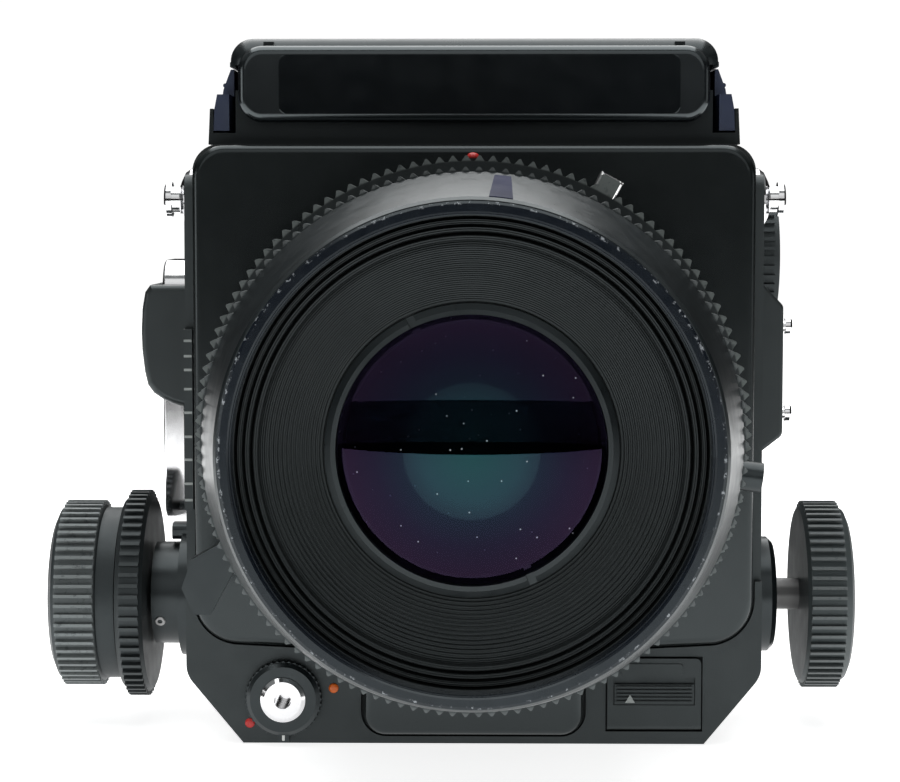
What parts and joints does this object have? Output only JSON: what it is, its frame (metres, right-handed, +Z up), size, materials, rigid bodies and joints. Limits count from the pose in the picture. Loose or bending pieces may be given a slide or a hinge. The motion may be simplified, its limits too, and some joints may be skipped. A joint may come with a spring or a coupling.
{
  "type": "medium-format reflex camera",
  "caption": "Modular single-lens reflex camera with a focusing bellows, a large toothed lens, a folding waist-level finder and a revolving roll-film back.",
  "frame": {"origin": "centre of the tripod socket's mouth, on the camera's underside", "axes": "+Z up, out of the finder; -Y the way the lens looks; +X to the right as seen from in front of the lens"},
  "size_m": [0.1512, 0.2115, 0.1292],
  "materials": {
    "black_lacquer": "satin",
    "black_crackle": "matte",
    "black_plastic": "matte",
    "gloss_black": "gloss",
    "navy_plastic": "satin",
    "black_rubber": "matte",
    "anodised_black": "satin",
    "bright_aluminium": "satin",
    "chrome_trim": "polished",
    "steel": "brushed",
    "optical_glass": "polished",
    "coated_glass": "coated",
    "matt_screen": "ground",
    "mirror_glass": "polished",
    "bellows_cloth": "matte"
  },
  "bodies": {
    "body": {"body_shell": "black_crackle", "base_plate": "black_crackle", "tripod_bush": "steel", "cover_screws": "steel", "front_lower_cover": "black_plastic", "side_cover_left": "black_plastic", "side_cover_right": "black_plastic", "strap_lugs": "chrome_trim", "grip_mount": "black_plastic", "grip_studs": "chrome_trim", "mirror_box": "anodised_black", "focusing_screen": "matt_screen", "focus_bearings": "anodised_black", "battery_holder": "black_plastic", "bellows": "bellows_cloth", "finder_base": "black_lacquer", "finder_nameplate": "gloss_black"},
    "standard": {"standard_frame": "anodised_black", "front_cover": "black_lacquer", "focus_racks": "steel", "rear_barrel": "anodised_black", "front_barrel": "anodised_black", "filter_ring": "anodised_black", "lens_baffle": "anodised_black", "front_element": "coated_glass", "retaining_ring": "anodised_black", "rear_elements": "optical_glass", "shutter_housing": "anodised_black", "iris_blades": "steel"},
    "lock_ring": {"lens_lock_ring": "anodised_black"},
    "aperture": {"aperture_ring": "anodised_black"},
    "preview": {"preview_lever": "anodised_black"},
    "coarse_drive": {"focus_shaft": "steel", "coarse_focus_ring": "anodised_black", "coarse_focus_knob": "anodised_black"},
    "fine_drive": {"fine_focus_knob": "anodised_black"},
    "focus_lock": {"focus_lock_lever": "anodised_black"},
    "release_button": {"shutter_button": "chrome_trim"},
    "release_lock": {"release_collar": "anodised_black"},
    "battery_hatch": {"battery_door": "black_plastic"},
    "battery_catch": {"battery_latch": "black_plastic"},
    "cocking_lever": {"cocking_arm": "bright_aluminium", "cocking_grip": "black_rubber"},
    "speed_dial": {"shutter_speed_dial": "anodised_black"},
    "mirror": {"mirror_holder": "steel", "mirror_glass": "mirror_glass"},
    "hood": {"hood_lid": "black_lacquer"},
    "hood_rear": {"hood_rear_panel": "anodised_black"},
    "hood_left": {"hood_side_panel_left": "anodised_black"},
    "hood_right": {"hood_side_panel_right": "anodised_black"},
    "magnifier": {"magnifier_arm": "anodised_black", "magnifier_lens": "optical_glass"},
    "catch_left": {"hood_catch_left": "navy_plastic"},
    "catch_right": {"hood_catch_right": "navy_plastic"},
    "film_back": {"revolving_adapter": "black_crackle", "magazine_shell": "black_crackle"},
    "rear_door": {"back_door": "black_lacquer"},
    "door_catch": {"door_latch": "bright_aluminium"},
    "dark_slide": {"dark_slide": "steel"},
    "wind_knob": {"film_wind_knob": "anodised_black"}
  },
  "joints": [
    {"name": "focus_travel", "type": "slide", "parent": "body", "child": "standard", "axis": [0, -1, 0], "range_m": [0, 0.046], "deforming": ["bellows"]},
    {"name": "coarse_focus_turn", "type": "hinge", "parent": "body", "child": "coarse_drive", "pos_m": [0, -0.022, 0.0239], "axis": [1, 0, 0], "range_deg": [0, 439.8]},
    {"name": "fine_focus_turn", "type": "hinge", "parent": "body", "child": "fine_drive", "pos_m": [-0.072, -0.022, 0.0239], "axis": [1, 0, 0], "range_deg": [0, 1318.3]},
    {"name": "focus_lock_turn", "type": "hinge", "parent": "body", "child": "focus_lock", "pos_m": [-0.055, -0.022, 0.0239], "axis": [1, 0, 0], "range_deg": [0, 25]},
    {"name": "lens_lock_turn", "type": "hinge", "parent": "standard", "child": "lock_ring", "pos_m": [0, -0.065, 0.0587], "axis": [0, 1, 0], "range_deg": [0, 35]},
    {"name": "aperture_turn", "type": "hinge", "parent": "standard", "child": "aperture", "pos_m": [0, -0.081, 0.0587], "axis": [0, 1, 0], "range_deg": [-40, 40]},
    {"name": "preview_turn", "type": "hinge", "parent": "standard", "child": "preview", "pos_m": [0, -0.072, 0.0587], "axis": [0, 1, 0], "range_deg": [0, 12], "stiffness_Nm_per_rad": 0.02, "springref_deg": -22.92},
    {"name": "release_press", "type": "slide", "parent": "body", "child": "release_button", "axis": [0, 1, 0], "range_m": [0, 0.002], "stiffness_N_per_m": 250, "springref_m": -0.001},
    {"name": "release_lock_turn", "type": "hinge", "parent": "body", "child": "release_lock", "pos_m": [-0.0347, -0.0485, 0.0085], "axis": [0, 1, 0], "range_deg": [-101, 52]},
    {"name": "battery_hatch_open", "type": "hinge", "parent": "body", "child": "battery_hatch", "pos_m": [0.033, -0.04725, 0.0035], "axis": [1, 0, 0], "range_deg": [0, 100]},
    {"name": "battery_catch_slide", "type": "slide", "parent": "battery_hatch", "child": "battery_catch", "axis": [0, 0, 1], "range_m": [0, 0.0011], "stiffness_N_per_m": 200, "springref_m": -0.001},
    {"name": "cocking_swing", "type": "hinge", "parent": "body", "child": "cocking_lever", "pos_m": [-0.057, 0.009, 0.042], "axis": [1, 0, 0], "range_deg": [0, 42], "stiffness_Nm_per_rad": 0.03, "springref_deg": -22.92},
    {"name": "shutter_speed_turn", "type": "hinge", "parent": "body", "child": "speed_dial", "pos_m": [0.056, 0.016, 0.088], "axis": [1, 0, 0], "range_deg": [-140, 140]},
    {"name": "mirror_flip", "type": "hinge", "parent": "body", "child": "mirror", "pos_m": [0, 0.045, 0.0917], "axis": [1, 0, 0], "range_deg": [-45, 0]},
    {"name": "hood_open", "type": "hinge", "parent": "body", "child": "hood", "pos_m": [0, -0.036, 0.1222], "axis": [1, 0, 0], "range_deg": [0, 90]},
    {"name": "hood_rear_rise", "type": "hinge", "parent": "body", "child": "hood_rear", "pos_m": [0, 0.0465, 0.1177], "axis": [1, 0, 0], "range_deg": [-90, 0]},
    {"name": "hood_left_rise", "type": "hinge", "parent": "body", "child": "hood_left", "pos_m": [-0.038, 0.007, 0.1152], "axis": [0, 1, 0], "range_deg": [-90, 0]},
    {"name": "hood_right_rise", "type": "hinge", "parent": "body", "child": "hood_right", "pos_m": [0.038, 0.007, 0.1152], "axis": [0, 1, 0], "range_deg": [0, 90]},
    {"name": "magnifier_swing", "type": "hinge", "parent": "hood", "child": "magnifier", "pos_m": [0, 0.01, 0.1223], "axis": [1, 0, 0], "range_deg": [-90, 0]},
    {"name": "hood_catch_left_press", "type": "slide", "parent": "body", "child": "catch_left", "axis": [1, 0, 0], "range_m": [0, 0.0011], "stiffness_N_per_m": 300, "springref_m": -0.001},
    {"name": "hood_catch_right_press", "type": "slide", "parent": "body", "child": "catch_right", "axis": [-1, 0, 0], "range_m": [0, 0.0011], "stiffness_N_per_m": 300, "springref_m": -0.001},
    {"name": "back_revolve", "type": "hinge", "parent": "body", "child": "film_back", "pos_m": [0, 0.05, 0.0587], "axis": [0, 1, 0], "range_deg": [0, 90]},
    {"name": "rear_door_open", "type": "hinge", "parent": "film_back", "child": "rear_door", "pos_m": [0.0497, 0.0981, 0.0587], "axis": [0, 0, 1], "range_deg": [-110, 0]},
    {"name": "door_catch_slide", "type": "slide", "parent": "rear_door", "child": "door_catch", "axis": [0, 0, 1], "range_m": [0, 0.004]},
    {"name": "dark_slide_pull", "type": "slide", "parent": "film_back", "child": "dark_slide", "axis": [1, 0, 0], "range_m": [0, 0.085]},
    {"name": "film_wind_turn", "type": "hinge", "parent": "film_back", "child": "wind_knob", "pos_m": [-0.052, 0.082, 0.086], "axis": [1, 0, 0], "continuous": true}
  ],
  "couplings": [
    {"joint": "coarse_focus_turn", "follows": "focus_travel", "rad_per_m": 166.67},
    {"joint": "fine_focus_turn", "follows": "focus_travel", "rad_per_m": 500},
    {"joint": "hood_rear_rise", "follows": "hood_open", "ratio": -1},
    {"joint": "hood_left_rise", "follows": "hood_open", "ratio": -1},
    {"joint": "hood_right_rise", "follows": "hood_open", "ratio": 1},
    {"joint": "magnifier_swing", "follows": "hood_open", "ratio": -1}
  ]
}
